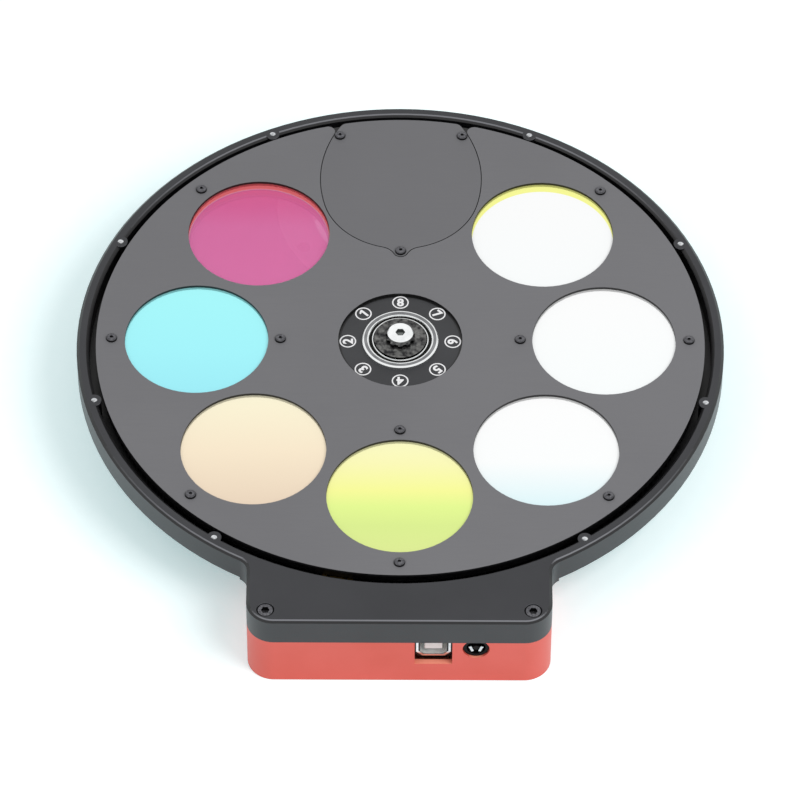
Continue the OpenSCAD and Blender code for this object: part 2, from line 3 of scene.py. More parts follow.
import bmesh
import bpy
from mathutils import Matrix, Vector


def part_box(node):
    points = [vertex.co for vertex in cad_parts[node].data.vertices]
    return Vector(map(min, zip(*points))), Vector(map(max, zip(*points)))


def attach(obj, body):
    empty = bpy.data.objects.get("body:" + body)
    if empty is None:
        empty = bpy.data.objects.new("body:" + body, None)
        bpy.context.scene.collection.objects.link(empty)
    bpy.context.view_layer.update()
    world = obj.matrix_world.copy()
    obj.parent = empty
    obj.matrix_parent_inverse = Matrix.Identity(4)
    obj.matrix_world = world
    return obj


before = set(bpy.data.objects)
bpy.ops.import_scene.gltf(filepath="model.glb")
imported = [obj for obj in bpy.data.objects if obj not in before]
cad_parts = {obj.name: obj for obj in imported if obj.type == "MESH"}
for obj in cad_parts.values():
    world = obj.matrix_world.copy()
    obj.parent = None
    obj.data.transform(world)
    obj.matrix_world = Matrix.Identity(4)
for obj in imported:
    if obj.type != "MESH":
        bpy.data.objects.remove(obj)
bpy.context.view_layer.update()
MM = 0.001


# ---------- camera ----------
def make_camera():
    azimuth, elevation, roll = -0.037, 48.938, 0.264
    distance = 1909.07 * MM
    target = Vector((-0.026, -97.201, 31.0)) * MM
    turn = (
        Matrix.Rotation(math.radians(azimuth), 4, "Z")
        @ Matrix.Rotation(math.radians(90 - elevation), 4, "X")
        @ Matrix.Rotation(math.radians(roll), 4, "Z")
    )
    data = bpy.data.cameras.new("camera")
    data.sensor_width = 36.0
    data.lens = 254.27
    data.clip_end = 20.0
    camera = bpy.data.objects.new("camera", data)
    bpy.context.scene.collection.objects.link(camera)
    back = turn.to_3x3() @ Vector((0, 0, 1))
    camera.matrix_world = Matrix.Translation(target + back * distance) @ turn
    bpy.context.scene.camera = camera


make_camera()
bpy.context.scene.view_settings.view_transform = "Standard"


# ---------- sizes ----------
def middle(node):
    low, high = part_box(node)
    return (low + high) / 2


# The foot of the axle, at the height of the frame's own origin.
AXLE = Vector((middle("axle_screw").x, middle("axle_screw").y, 0))
DISC_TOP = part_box("carousel_disc")[1].z
RIM_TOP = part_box("base_housing")[1].z
BEARING_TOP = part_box("bearing_outer_ring")[1].z
AXLE_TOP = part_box("axle_screw")[1].z
PLACES = 8
WINDOW_R = 24.5 * MM

# Where one finish, a painted shade or a painted highlight gives way to another, and over what
# width.
BLUR = 0.1 * MM
CHAMBER_R = 107.3 * MM
RIM_HIGHLIGHT_DEPTH = 0.42 * MM
DIAL_FACE_R = 20.3 * MM
RACE_CORNER_R = 12.3 * MM
SHIELD_GROOVE = 0.38 * MM
AXLE_SOCKET_R = 2.6 * MM
FLANGE_SEAM_R = 43.1 * MM


def place_angle(n):
    """Angle of place n about the axle, anticlockwise from the blank at the back."""
    return math.radians(90 + n * 360 / PLACES)


def round_axle(radius, angle, z):
    return AXLE + Vector((radius * math.cos(angle), radius * math.sin(angle), z))


# ---------- making materials ----------
def linear(hex_colour):
    """An sRGB hex colour as the linear RGBA that a socket takes."""
    values = [int(hex_colour[i : i + 2], 16) / 255 for i in (1, 3, 5)]
    return [v / 12.92 if v <= 0.04045 else ((v + 0.055) / 1.055) ** 2.4 for v in values] + [1.0]


def per(size_mm):
    """Scale of a noise whose grains are size_mm across."""
    return 1000 / size_mm


def rings_per(pitch_mm):
    """Scale of a wave texture whose lines are pitch_mm apart."""
    return 1000 * 2 * math.pi / 20 / pitch_mm


def add(tree, kind, sockets=None, stops=(), **settings):
    """Adds a node. sockets gives each input a value, or the output that feeds it, and stops
    gives a ramp its places and hex colours."""
    made = tree.nodes.new(kind)
    for name, value in settings.items():
        setattr(made, name, value)
    for key, value in (sockets or {}).items():
        if isinstance(value, bpy.types.NodeSocket):
            tree.links.new(value, made.inputs[key])
        else:
            made.inputs[key].default_value = value
    for k, (position, colour) in enumerate(stops):
        points = made.color_ramp.elements
        point = points[k] if k < 2 else points.new(position)
        point.position, point.color = position, linear(colour)
    return made


def start(name, centre=None):
    """A new material's tree, and the place on the piece, counted from centre where there is one."""
    material = bpy.data.materials.new(name)
    material.use_nodes = True
    tree = material.node_tree
    tree.nodes.clear()
    place = add(tree, "ShaderNodeTexCoord").outputs["Object"]
    if centre is not None:
        place = add(tree, "ShaderNodeMapping", {"Vector": place, "Location": -centre}).outputs[0]
    return material, tree, place


def finish(tree, sockets):
    surface = add(tree, "ShaderNodeBsdfPrincipled", sockets)
    add(tree, "ShaderNodeOutputMaterial", {"Surface": surface.outputs[0]})


def facing(tree):
    """The direction that the face looks in, as X, Y and Z."""
    face = add(tree, "ShaderNodeNewGeometry").outputs["True Normal"]
    return add(tree, "ShaderNodeSeparateXYZ", {"Vector": face}).outputs


def radius_from(tree, place):
    """The distance from the upright line through the centre of the pattern."""
    flat = add(
        tree, "ShaderNodeVectorMath", {0: place, 1: (1, 1, 0)}, operation="MULTIPLY"
    ).outputs[0]
    return add(tree, "ShaderNodeVectorMath", {0: flat}, operation="LENGTH").outputs["Value"]


def between(tree, value, low, high):
    """0 up to low, 1 from high on. low may be the larger of the two."""
    return add(
        tree, "ShaderNodeMapRange", {"Value": value, "From Min": low, "From Max": high}
    ).outputs["Result"]


def steepness(tree, flat, steep):
    """How steeply the face stands: 0 where its normal's height is flat, 1 where it is steep."""
    height = add(
        tree, "ShaderNodeMath", {0: facing(tree)["Z"]}, operation="ABSOLUTE"
    ).outputs[0]
    return between(tree, height, flat, steep)


def product(tree, *values):
    result = values[0]
    for value in values[1:]:
        result = add(
            tree, "ShaderNodeMath", {0: result, 1: value}, operation="MULTIPLY"
        ).outputs[0]
    return result


def over(tree, colour, factor, top):
    """colour with the hex colour top laid over it by factor."""
    return add(
        tree, "ShaderNodeMixRGB", {"Fac": factor, "Color1": colour, "Color2": linear(top)}
    ).outputs["Color"]


# ---------- metals and coatings ----------
def blasted_anodise(name, dye, faded, grit_mm, roughness, metallic, adapt=None):
    """Bead blasted and anodised aluminium: a grit that breaks up the sheen, drawn coarser than it
    is so that it shows, and dye that is a little uneven. adapt lays painted shade, painted
    highlights or a dark seam over the colour."""
    cloud_mm = 22
    spread = 0.06
    material, tree, place = start(name, AXLE)
    grit = add(tree, "ShaderNodeTexNoise", {"Vector": place, "Scale": per(grit_mm), "Detail": 2.0})
    cloud = add(
        tree, "ShaderNodeTexNoise", {"Vector": place, "Scale": per(cloud_mm), "Detail": 4.0}
    )
    colour = add(
        tree,
        "ShaderNodeValToRGB",
        {"Fac": cloud.outputs["Fac"]},
        stops=[(0.3, dye), (0.7, faded)],
    ).outputs["Color"]
    colour = adapt(tree, place, colour) if adapt else colour
    gloss = add(
        tree,
        "ShaderNodeMapRange",
        {
            "Value": grit.outputs["Fac"],
            "To Min": roughness - spread,
            "To Max": roughness + spread,
        },
    )
    relief = add(
        tree,
        "ShaderNodeBump",
        {"Height": grit.outputs["Fac"], "Strength": 0.25, "Distance": 0.02 * MM},
    )
    finish(
        tree,
        {
            "Base Color": colour,
            "Metallic": metallic,
            "Roughness": gloss.outputs["Result"],
            "Normal": relief.outputs["Normal"],
        },
    )
    return material


def turned_metal(name, centre, light, dark, pitch_mm, roughness, adapt=None):
    """Metal turned or ground in a lathe: fine rings about its axis that draw out the highlights,
    further apart than real ones so that they show, and faint stains. adapt lays painted shade or
    a painted highlight over the colour."""
    stain_mm = 3
    material, tree, place = start(name, centre)
    rings = add(
        tree,
        "ShaderNodeTexWave",
        {"Vector": place, "Scale": rings_per(pitch_mm), "Distortion": 0.4, "Detail": 2.0},
        wave_type="RINGS",
        rings_direction="Z",
    )
    stain = add(
        tree, "ShaderNodeTexNoise", {"Vector": place, "Scale": per(stain_mm), "Detail": 3.0}
    )
    colour = add(
        tree,
        "ShaderNodeValToRGB",
        {"Fac": stain.outputs["Fac"]},
        stops=[(0.35, dark), (0.65, light)],
    ).outputs["Color"]
    colour = adapt(tree, place, colour) if adapt else colour
    relief = add(
        tree,
        "ShaderNodeBump",
        {"Height": rings.outputs["Fac"], "Strength": 0.2, "Distance": 0.01 * MM},
    )
    finish(
        tree,
        {
            "Base Color": colour,
            "Metallic": 1.0,
            "Roughness": roughness,
            "Normal": relief.outputs["Normal"],
        },
    )
    return material


def black_oxide(name, light, dark, grain_mm, roughness):
    """Blackened steel: a mottled dark grey on its flat faces, with a gloss that varies with the
    grain. Its flanks and its socket are painted near black as shade."""
    spread = 0.1
    material, tree, place = start(name)
    grain = add(
        tree, "ShaderNodeTexNoise", {"Vector": place, "Scale": per(grain_mm), "Detail": 3.0}
    )
    colour = add(
        tree,
        "ShaderNodeValToRGB",
        {"Fac": grain.outputs["Fac"]},
        stops=[(0.35, dark), (0.7, light)],
    ).outputs["Color"]
    gloss = add(
        tree,
        "ShaderNodeMapRange",
        {
            "Value": grain.outputs["Fac"],
            "To Min": roughness - spread,
            "To Max": roughness + spread,
        },
    )
    finish(
        tree,
        {
            # Painted shade: the steep faces, flanks and socket, are painted near black.
            "Base Color": over(tree, colour, steepness(tree, flat=0.95, steep=0.6), "#0c0c0e"),
            "Metallic": 0.8,
            "Roughness": gloss.outputs["Result"],
        },
    )
    return material


def matt_grey_coat(name, light, dark):
    """Hard grey anodise on rolled sheet: flat and matt, with a fine tooth and the faint grain of
    the rolling along X. Its steep faces, the cut edges and the walls of its windows, are painted
    black as shade."""
    rolling_mm, tooth_mm, cloud_mm = 0.8, 0.3, 70
    along_x = (0.08, 1.0, 1.0)
    material, tree, place = start(name)
    stretched = add(tree, "ShaderNodeMapping", {"Vector": place, "Scale": along_x}).outputs[0]
    rolled = add(
        tree, "ShaderNodeTexNoise", {"Vector": stretched, "Scale": per(rolling_mm), "Detail": 4.0}
    )
    tooth = add(
        tree, "ShaderNodeTexNoise", {"Vector": place, "Scale": per(tooth_mm), "Detail": 2.0}
    )
    cloud = add(
        tree, "ShaderNodeTexNoise", {"Vector": place, "Scale": per(cloud_mm), "Detail": 3.0}
    )
    shade = add(
        tree,
        "ShaderNodeMath",
        {0: rolled.outputs["Fac"], 1: 0.3, 2: cloud.outputs["Fac"]},
        operation="MULTIPLY_ADD",
    )
    colour = add(
        tree,
        "ShaderNodeValToRGB",
        {"Fac": shade.outputs[0]},
        stops=[(0.5, dark), (0.8, light)],
    ).outputs["Color"]
    relief = add(
        tree,
        "ShaderNodeBump",
        {"Height": tooth.outputs["Fac"], "Strength": 0.2, "Distance": 0.02 * MM},
    )
    finish(
        tree,
        {
            # Painted shade: the steep faces are painted near black.
            "Base Color": over(tree, colour, steepness(tree, flat=0.8, steep=0.5), "#08080a"),
            "Roughness": 0.55,
            "Normal": relief.outputs["Normal"],
        },
    )
    return material


def plated_shell(name, light, dark, roughness, front=None):
    """Plated metal: bright, with soft waves as the press leaves them. Where a front colour is
    given, it is painted as shade over the faces that look to the front, and the metal is then
    drawn nearly without metal sheen."""
    wave_mm = 2.5
    material, tree, place = start(name)
    wave = add(tree, "ShaderNodeTexNoise", {"Vector": place, "Scale": per(wave_mm), "Detail": 2.0})
    colour = add(
        tree,
        "ShaderNodeValToRGB",
        {"Fac": wave.outputs["Fac"]},
        stops=[(0.35, dark), (0.65, light)],
    ).outputs["Color"]
    if front:
        # Painted shade on the faces that look to the front.
        colour = over(tree, colour, between(tree, facing(tree)["Y"], -0.5, -0.9), front)
    relief = add(
        tree,
        "ShaderNodeBump",
        {"Height": wave.outputs["Fac"], "Strength": 0.15, "Distance": 0.1 * MM},
    )
    finish(
        tree,
        {
            "Base Color": colour,
            "Metallic": 0.1 if front else 1.0,
            "Roughness": roughness,
            "Normal": relief.outputs["Normal"],
        },
    )
    return material


# ---------- plastics, ink and boards ----------
def moulded_plastic(name, light, dark, roughness, sheen=0.5):
    """Moulded plastic from a spark-eroded mould: an even fine texture, drawn coarser than it is
    so that it shows, and a soft sheen."""
    spark_mm = 0.25
    material, tree, place = start(name)
    spark = add(
        tree, "ShaderNodeTexNoise", {"Vector": place, "Scale": per(spark_mm), "Detail": 2.0}
    )
    colour = add(
        tree,
        "ShaderNodeValToRGB",
        {"Fac": spark.outputs["Fac"]},
        stops=[(0.3, dark), (0.7, light)],
    )
    relief = add(
        tree,
        "ShaderNodeBump",
        {"Height": spark.outputs["Fac"], "Strength": 0.2, "Distance": 0.02 * MM},
    )
    finish(
        tree,
        {
            "Base Color": colour.outputs["Color"],
            "Roughness": roughness,
            "Specular IOR Level": sheen,
            "Normal": relief.outputs["Normal"],
        },
    )
    return material


def printed_ink(name):
    """White screen ink: chalky, and a touch thinner where the mesh of the screen lay."""
    weave_mm = 0.2
    material, tree, place = start(name)
    weave = add(
        tree, "ShaderNodeTexNoise", {"Vector": place, "Scale": per(weave_mm), "Detail": 2.0}
    )
    colour = add(
        tree,
        "ShaderNodeValToRGB",
        {"Fac": weave.outputs["Fac"]},
        stops=[(0.2, "#dfe0e2"), (0.6, "#fbfbfc")],
    )
    finish(tree, {"Base Color": colour.outputs["Color"], "Roughness": 0.6})
    return material


def solder_mask(name):
    """Green solder mask over copper tracks: the tracks show as paler, raised lines."""
    track_mm = 1.2
    material, tree, place = start(name)
    tracks = add(
        tree,
        "ShaderNodeTexWave",
        {"Vector": place, "Scale": rings_per(track_mm), "Distortion": 1.5, "Detail": 0.0},
        wave_type="BANDS",
        bands_direction="X",
    )
    colour = add(
        tree,
        "ShaderNodeValToRGB",
        {"Fac": tracks.outputs["Fac"]},
        stops=[(0.55, "#12402a"), (0.65, "#2a7a4c")],
    )
    relief = add(
        tree,
        "ShaderNodeBump",
        {"Height": tracks.outputs["Fac"], "Strength": 0.3, "Distance": 0.04 * MM},
    )
    finish(
        tree,
        {
            "Base Color": colour.outputs["Color"],
            "Roughness": 0.25,
            "Normal": relief.outputs["Normal"],
        },
    )
    return material


# ---------- coated filters ----------
def coated_glass(name, node, stops, crescent_mm=0, crescents=(), alpha=1.0):
    """An interference coating on polished glass: it mirrors one colour. Its shift from the back of
    the filter to its front is a painted reflection. Along the back edge lies a crescent of other
    colours, a painted reflection, crescent_mm wide: crescents holds them, each from so many mm
    outside its inner circle."""
    ripple_mm = 9
    material, tree, place = start(name, middle(node))
    split = add(tree, "ShaderNodeSeparateXYZ", {"Vector": place})
    # Painted reflection: the colour shifts from the back of the filter to its front.
    down = between(tree, split.outputs["Y"], WINDOW_R, -WINDOW_R)
    colour = add(tree, "ShaderNodeValToRGB", {"Fac": down}, stops=stops).outputs["Color"]
    moved = add(
        tree, "ShaderNodeMapping", {"Vector": place, "Location": (0, crescent_mm * MM, 0)}
    ).outputs[0]
    # Painted reflection: the crescents along the back edge.
    for outside_mm, hue in crescents:
        begin = WINDOW_R + outside_mm * MM
        crescent = between(tree, radius_from(tree, moved), begin - BLUR, begin + BLUR)
        colour = over(tree, colour, crescent, hue)
    ripple = add(
        tree, "ShaderNodeTexNoise", {"Vector": place, "Scale": per(ripple_mm), "Detail": 1.0}
    )
    relief = add(
        tree,
        "ShaderNodeBump",
        {"Height": ripple.outputs["Fac"], "Strength": 0.05, "Distance": 0.02 * MM},
    )
    finish(
        tree,
        {
            "Base Color": colour,
            "Metallic": 0.45,
            "Roughness": 0.04,
            "Alpha": alpha,
            "Coat Weight": 0.3,
            "Normal": relief.outputs["Normal"],
        },
    )
    return material


# ---------- parts with painted shade, painted highlights and a seam ---
def housing_colour(tree, place, colour):
    """Painted shade: near black in the chamber and darker on the chamfers. Painted highlight: a
    pale line along the top of the chamfers that face the front."""
    height = add(tree, "ShaderNodeSeparateXYZ", {"Vector": place}).outputs["Z"]
    normal = facing(tree)
    slanted = between(tree, normal["Z"], 0.98, 0.9)
    chamber = product(
        tree,
        between(tree, radius_from(tree, place), CHAMBER_R, CHAMBER_R - BLUR),
        between(tree, height, RIM_TOP - 0.02 * MM, RIM_TOP - 0.06 * MM),
    )
    chamfer = product(tree, slanted, between(tree, normal["Z"], 0.2, 0.4))
    line = product(
        tree,
        between(tree, height, RIM_TOP - RIM_HIGHLIGHT_DEPTH, RIM_TOP - RIM_HIGHLIGHT_DEPTH + 0.12 * MM),
        slanted,
        between(tree, normal["Y"], -0.3, -0.6),
    )
    # Painted shade in the chamber and on the chamfers, then a painted highlight line.
    colour = over(tree, colour, chamber, "#0b0b0d")
    colour = over(tree, colour, chamfer, "#111113")
    return over(tree, colour, line, "#77787d")


def disc_colour(tree, place, colour):
    """The face of the dial keeps its satin; round it, under the plate and in the gaps, the disc is
    painted black as shade.
    """
    rim_shade = between(tree, radius_from(tree, place), DIAL_FACE_R, DIAL_FACE_R + BLUR)
    return over(tree, colour, rim_shade, "#060607")


def box_colour(tree, place, colour):
    """Painted highlight: paler on what faces up, which is the sills of the openings."""
    return over(tree, colour, between(tree, facing(tree)["Z"], 0.8, 0.95), "#ff9a80")


def race_colour(tree, place, colour):
    """Painted highlight: the corner of the race is brighter than its face."""
    corner = between(
        tree, radius_from(tree, place), RACE_CORNER_R, RACE_CORNER_R + 0.15 * MM
    )
    return over(tree, colour, corner, "#f2f4f4")


def shield_colour(tree, place, colour):
    """Painted shade: dark in the grooves of the shield."""
    height = add(tree, "ShaderNodeSeparateXYZ", {"Vector": place}).outputs["Z"]
    groove = BEARING_TOP - SHIELD_GROOVE
    groove_shade = between(tree, height, groove + BLUR / 2, groove - BLUR / 2)
    return over(tree, colour, groove_shade, "#1f1f1e")


def axle_screw_colour(tree, place, colour):
    """Painted shade: the hexagon socket of the screw is darker than its ground head."""
    height = add(tree, "ShaderNodeSeparateXYZ", {"Vector": place}).outputs["Z"]
    socket = product(
        tree,
        between(tree, radius_from(tree, place), AXLE_SOCKET_R, AXLE_SOCKET_R - BLUR),
        between(tree, height, AXLE_TOP - BLUR, AXLE_TOP - 2 * BLUR),
    )
    return over(tree, colour, socket, "#6f7371")


def adapter_colour(tree, place, colour):
    """A black seam round the flange, which also stands as painted shade along its edge. The port is
    at the frame's origin, not round the axle.
    """
    round_port = add(tree, "ShaderNodeMapping", {"Vector": place, "Location": AXLE}).outputs[0]
    seam = between(
        tree, radius_from(tree, round_port), FLANGE_SEAM_R, FLANGE_SEAM_R + 0.3 * MM
    )
    return over(tree, colour, seam, "#0b0b0d")


# ---------- finishes of the nodes ----------
black_anodised = blasted_anodise(
    "black_anodised_aluminium", "#25262a", "#2c2d31", 0.35, 0.4, 0.0, housing_colour
)
carousel_black = blasted_anodise(
    "black_anodised_disc", "#26272a", "#303134", 0.35, 0.4, 0.0, disc_colour
)
adapter_grey = blasted_anodise(
    "silver_anodised_adapter", "#b6b7ba", "#c2c3c6", 0.35, 0.45, 0.0, adapter_colour
)
red_anodised = blasted_anodise(
    "red_anodised_aluminium", "#dd5a4b", "#e36256", 0.35, 0.42, 0.1, box_colour
)
plate_grey = matt_grey_coat("grey_hard_anodised_sheet", "#717174", "#6d6d70")
blank_grey = matt_grey_coat("grey_hard_anodised_blank", "#6c6c6f", "#69696c")
black_screw = black_oxide("black_oxide_screw_steel", "#747478", "#4c4c50", 0.6, 0.32)
axle_black = black_oxide("black_oxide_axle_steel", "#7c7c7a", "#262628", 1.6, 0.3)
gear_steel = black_oxide("blackened_gear_steel", "#4c4c4f", "#2c2c2e", 0.8, 0.4)
ground_steel = turned_metal("ground_axle_steel", AXLE, "#f6f8f8", "#e6e9e9", 0.25, 0.2)
screw_steel = turned_metal(
    "ground_screw_steel", AXLE, "#f8fafa", "#eaeded", 0.25, 0.2, axle_screw_colour
)
bearing_steel = turned_metal("polished_bearing_steel", AXLE, "#c9cbcc", "#b4b6b8", 0.3, 0.2)
race_steel = turned_metal(
    "ground_race_steel", AXLE, "#8c8d8f", "#77787a", 0.3, 0.25, race_colour
)
shield_steel = turned_metal(
    "pressed_shield_steel", AXLE, "#f4f6f6", "#e2e5e5", 0.3, 0.2, shield_colour
)
motor_steel = plated_shell("zinc_plated_motor_steel", "#b9bcc0", "#94979b", 0.35)
nickel_shell = plated_shell("nickel_plated_shell", "#e4e6e8", "#c6c9cc", 0.16)
magnet_nickel = plated_shell("nickel_plated_magnet", "#c9cbce", "#aeb1b4", 0.2)
gold_plate = plated_shell("gold_plated_contact", "#e6c06a", "#c99a3e", 0.2)
pinion_brass = turned_metal("aged_brass", middle("pinion"), "#6e5a30", "#54431f", 0.2, 0.45)
shaft_steel = turned_metal("ground_shaft_steel", middle("pinion"), "#d0d3d6", "#a9acb0", 0.2, 0.2)
jack_black = moulded_plastic("moulded_black_nylon", "#0c0c0d", "#060607", 0.5, 0.12)
tongue_white = moulded_plastic("moulded_white_nylon", "#ffffff", "#f6f6f4", 0.4)
# The last colour is painted shade on the socket's front face.
socket_shell = plated_shell("tinned_socket_shell", "#fbfdfc", "#eef2f0", 0.35, "#0c0c0d")
dial_ink = printed_ink("white_screen_ink")
board_green = solder_mask("green_solder_mask")

FINISHES = {
    "base_housing": black_anodised,
    "drive_cover": red_anodised,
    "front_cover_screws": black_screw,
    "rear_cover_screws": black_screw,
    "telescope_adapter": adapter_grey,
    "adapter_screws": black_screw,
    "axle_post": ground_steel,
    "axle_washer": axle_black,
    "axle_lock_bush": axle_black,
    "axle_screw": screw_steel,
    "bearing_inner_ring": bearing_steel,
    "bearing_outer_ring": race_steel,
    "bearing_balls": bearing_steel,
    "bearing_shields": shield_steel,
    "carousel_disc": carousel_black,
    "ring_gear": gear_steel,
    "retaining_plate": plate_grey,
    "blank_plate": blank_grey,
    "plate_screws": black_screw,
    "blank_screws": black_screw,
    "home_magnet": magnet_nickel,
    "stepper_motor": motor_steel,
    "motor_screws": black_screw,
    "motor_shaft": shaft_steel,
    "pinion": pinion_brass,
    "circuit_board": board_green,
    "board_screws": black_screw,
    "usb_socket": socket_shell,
    "power_jack": jack_black,
    "sensor_board": board_green,
    # Each filter's colour shift from back to front, and the crescents of filters 1 and 7, are
    # painted reflections.
    "filter_1": coated_glass(
        "magenta_coated_glass",
        "filter_1",
        [(0.0, "#f868a4"), (0.22, "#f46cae"), (0.42, "#f57cbc"), (1.0, "#f880c0")],
        crescent_mm=2.5,
        crescents=[(-0.35, "#ffa0c0"), (0.0, "#ff7078")],
        alpha=0.62,
    ),
    "filter_2": coated_glass(
        "cyan_coated_glass", "filter_2", [(0.0, "#a6fdff"), (0.6, "#a2f8ff"), (1.0, "#9cf0fb")]
    ),
    "filter_3": coated_glass(
        "cream_coated_glass", "filter_3", [(0.0, "#fff8d8"), (0.5, "#fbeacd"), (1.0, "#ecd6bd")]
    ),
    "filter_4": coated_glass(
        "yellow_green_coated_glass",
        "filter_4",
        [
            (0.0, "#fefdc4"),
            (0.2, "#fdfbb6"),
            (0.44, "#fafd97"),
            (0.58, "#e6fb8f"),
            (0.75, "#dcf18d"),
            (1.0, "#dfee92"),
        ],
    ),
    "filter_5": coated_glass(
        "ice_coated_glass", "filter_5", [(0.0, "#ffffff"), (0.6, "#fdffff"), (1.0, "#dff8fc")]
    ),
    "filter_6": coated_glass(
        "clear_coated_glass", "filter_6", [(0.0, "#ffffff"), (1.0, "#fbffff")]
    ),
    "filter_7": coated_glass(
        "pale_coated_glass",
        "filter_7",
        [(0.0, "#ffffff"), (1.0, "#fcffff")],
        crescent_mm=3.4,
        crescents=[(0.0, "#fcfd94")],
    ),
}
for node, material in FINISHES.items():
    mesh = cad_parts[node].data
    mesh.materials.clear()
    mesh.materials.append(material)


# ---------- making pieces ----------
def new_piece(name, bm, body, material):
    """Makes an object of what bm holds, and lets it ride on body."""
    bmesh.ops.recalc_face_normals(bm, faces=bm.faces)
    mesh = bpy.data.meshes.new(name)
    bm.to_mesh(mesh)
    bm.free()
    mesh.materials.append(material)
    piece = bpy.data.objects.new(name, mesh)
    bpy.context.scene.collection.objects.link(piece)
    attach(piece, body)


def profile_loop(bm, centre, points):
    """A closed loop of (radius, height) points beside the vertical line through centre."""
    corners = [bm.verts.new((centre.x + r, centre.y, centre.z + z)) for r, z in points]
    return corners, [bm.edges.new(pair) for pair in zip(corners, corners[1:] + corners[:1])]


def lathe(bm, centre, points, steps=48):
    corners, edges = profile_loop(bm, centre, points)
    bmesh.ops.spin(
        bm,
        geom=corners + edges,
        cent=centre,
        axis=(0, 0, 1),
        angle=2 * math.pi,
        steps=steps,
        use_merge=True,
    )


def coil(bm, centre, points, pitch, turns, steps):
    """A ridge of that section that climbs round the vertical line through centre."""
    corners, edges = profile_loop(bm, centre, points)
    bm.faces.new(corners)
    spun = bmesh.ops.spin(
        bm,
        geom=corners + edges,
        cent=centre,
        axis=(0, 0, 1),
        angle=2 * math.pi * turns,
        dvec=(0, 0, pitch / steps),
        steps=round(turns * steps),
    )
    last = [e for e in spun["geom_last"] if isinstance(e, bmesh.types.BMEdge)]
    bmesh.ops.contextual_create(bm, geom=last)


def raise_faces(bm, faces, by):
    """Extrudes the faces along the vector by."""
    raised = bmesh.ops.extrude_face_region(bm, geom=faces)["geom"]
    corners = [v for v in raised if isinstance(v, bmesh.types.BMVert)]
    bmesh.ops.translate(bm, verts=corners, vec=by)


def soft_box(bm, centre, size, bevel, lean=0.0):
    """A box with rounded edges, leaning by that many degrees about the Y axis."""
    made = bmesh.ops.create_cube(bm, size=1.0)["verts"]
    bmesh.ops.scale(bm, vec=size, verts=made)
    turn = Matrix.Rotation(math.radians(lean), 3, "Y")
    bmesh.ops.rotate(bm, verts=made, cent=(0, 0, 0), matrix=turn)
    bmesh.ops.translate(bm, vec=centre, verts=made)
    edges = list(dict.fromkeys(e for v in made for e in v.link_edges))
    bmesh.ops.bevel(
        bm, geom=edges, offset=bevel, segments=2, profile=0.5, affect="EDGES", material=-1
    )


# ---------- dial: a number in a ring for each place ----------
DIAL_R = 17.9 * MM
DIAL_RING_R = 2.85 * MM
DIAL_STROKE = 0.45 * MM
DIGIT_H = 3.6 * MM
DIGIT_BOLDNESS = 0.036
INK_T = 0.04 * MM
WELD = 0.001 * MM

# The outline of the one. digit_mesh brings every numeral to its size.
ONE = [(0, -5), (2.2, -5), (2.2, 5), (0.4, 5), (-2.6, 3.2), (-2.6, 1.3), (0, 2.4)]


def numeral_one():
    """A one with a bold flag."""
    bm = bmesh.new()
    face = bm.faces.new([bm.verts.new((x, y, 0)) for x, y in ONE])
    raise_faces(bm, [face], (0, 0, 1))
    mesh = bpy.data.meshes.new("numeral")
    bm.to_mesh(mesh)
    bm.free()
    return mesh


def numeral(text):
    curve = bpy.data.curves.new("numeral", "FONT")
    curve.body = text
    curve.size = 1.0
    curve.extrude = 0.5
    curve.offset = DIGIT_BOLDNESS
    curve.resolution_u = 4
    holder = bpy.data.objects.new("numeral", curve)
    bpy.context.scene.collection.objects.link(holder)
    bpy.context.view_layer.update()
    mesh = bpy.data.meshes.new_from_object(holder)
    bpy.data.objects.remove(holder)
    return mesh


def digit_mesh(n):
    """A bold numeral, its middle at the origin, lying face up."""
    mesh = numeral_one() if n == 1 else numeral(str(n))
    low = Vector([min(v.co[k] for v in mesh.vertices) for k in range(3)])
    high = Vector([max(v.co[k] for v in mesh.vertices) for k in range(3)])
    size = high - low
    mesh.transform(Matrix.Translation(-(low + high) / 2))
    mesh.transform(Matrix.Diagonal((DIGIT_H / size.y, DIGIT_H / size.y, INK_T / size.z, 1)))
    return mesh


def dial_number(n):
    angle = place_angle(n)
    spot = round_axle(DIAL_R, angle, DISC_TOP)
    bm = bmesh.new()
    bm.from_mesh(digit_mesh(n))
    bmesh.ops.remove_doubles(bm, verts=bm.verts, dist=WELD)
    outwards = Matrix.Rotation(angle - math.pi / 2, 3, "Z")
    bmesh.ops.rotate(bm, verts=bm.verts, cent=(0, 0, 0), matrix=outwards)
    bmesh.ops.translate(bm, verts=bm.verts, vec=spot + Vector((0, 0, INK_T / 2)))
    inner, outer = DIAL_RING_R - DIAL_STROKE, DIAL_RING_R
    lathe(bm, spot, [(inner, 0), (outer, 0), (outer, INK_T), (inner, INK_T)])
    new_piece(f"dial_number_{n}", bm, "carousel", dial_ink)


for n in range(1, PLACES + 1):
    dial_number(n)


# ---------- cut threads ----------
THREAD_CLEAR = 0.01 * MM  # between the foot of a thread and the wall of its hole
THREAD_FILL = 0.9  # the share of its pitch that a thread takes up


def thread_section(hole_r, depth, pitch, crest):
    """The section of a thread. crest gives where its top lies, as shares of the pitch."""
    foot = hole_r - THREAD_CLEAR
    top = [(hole_r - depth, pitch * share) for share in crest]
    return [(foot, 0), *top, (foot, pitch * THREAD_FILL)]


COVER_HOLE_R = 1.03 * MM
COVER_HOLES_AT = 107 * MM
COVER_HOLE_FIRST = 25  # degrees from the back, to either side
COVER_HOLE_STEP = 40  # degrees from one to the next
COVER_THREAD_FOOT = 3.9 * MM
COVER_THREAD_DEPTH = 0.25 * MM
COVER_PITCH = 0.4 * MM
COVER_TURNS = 9


